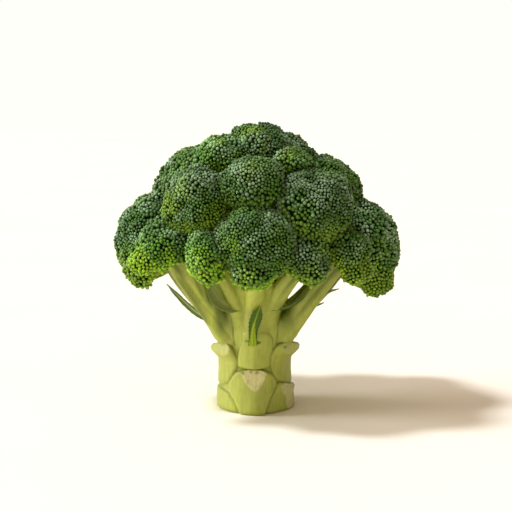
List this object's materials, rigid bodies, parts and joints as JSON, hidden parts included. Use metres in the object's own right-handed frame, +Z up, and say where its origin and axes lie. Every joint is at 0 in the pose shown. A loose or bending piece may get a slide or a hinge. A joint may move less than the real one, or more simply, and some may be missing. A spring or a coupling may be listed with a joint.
{
  "type": "broccoli head",
  "caption": "Whole fresh broccoli head on a thick trimmed stalk with a flat cut base, a domed crown of tightly budded dark green florets on forking pale stems, and small leaves at the forks.",
  "frame": {"origin": "centre of the flat cut base of the stalk", "axes": "+Z up along the stalk, -Y towards the front of the head, +X to the right seen from the front"},
  "size_m": [0.1588, 0.1387, 0.1589],
  "materials": {
    "stalk": "smooth pale yellow-green skin with a thin waxy bloom, fine lengthwise fibres and paler cut scars",
    "stem": "smooth pale green skin, slightly ridged, satin",
    "floret": "packed round flower buds, dark bluish green with a dull waxy bloom, yellow-green at the lower rims",
    "leaf": "thin dark green leaf with a pale midrib, satin"
  },
  "bodies": {
    "root": {"stalk": "stalk", "stem_front": "stem", "stem_left": "stem", "stem_right": "stem", "stem_left_front": "stem", "stem_right_front": "stem", "stem_top": "stem", "stem_back": "stem", "stem_back_left": "stem", "stem_back_right": "stem", "stem_front_left": "stem", "stem_front_right": "stem", "stem_upper_left": "stem", "stem_upper_right": "stem", "stem_front_upper_left": "stem", "stem_front_upper_right": "stem", "stem_front_upper": "stem", "stem_front_lower": "stem", "stem_left_centre": "stem", "stem_back_upper": "stem", "stem_back_upper_left": "stem", "stem_back_upper_right": "stem", "stem_top_left": "stem", "stem_top_right": "stem", "stem_front_top_right": "stem", "floret_left": "floret", "floret_left_front": "floret", "floret_left_centre": "floret", "floret_upper_left": "floret", "floret_front_upper_left": "floret", "floret_top_left": "floret", "floret_top": "floret", "floret_top_right": "floret", "floret_front_upper": "floret", "floret_front_top_right": "floret", "floret_front_upper_right": "floret", "floret_upper_right": "floret", "floret_right": "floret", "floret_right_front": "floret", "floret_front": "floret", "floret_front_lower": "floret", "floret_front_left": "floret", "floret_front_right": "floret", "floret_back_left": "floret", "floret_back": "floret", "floret_back_right": "floret", "floret_back_upper_left": "floret", "floret_back_upper": "floret", "floret_back_upper_right": "floret", "leaf_front": "leaf", "leaf_left_outer": "leaf", "leaf_left_inner": "leaf", "leaf_right_inner": "leaf", "leaf_right_lower": "leaf", "leaf_right_outer": "leaf", "leaf_back": "leaf"}
  },
  "joints": []
}
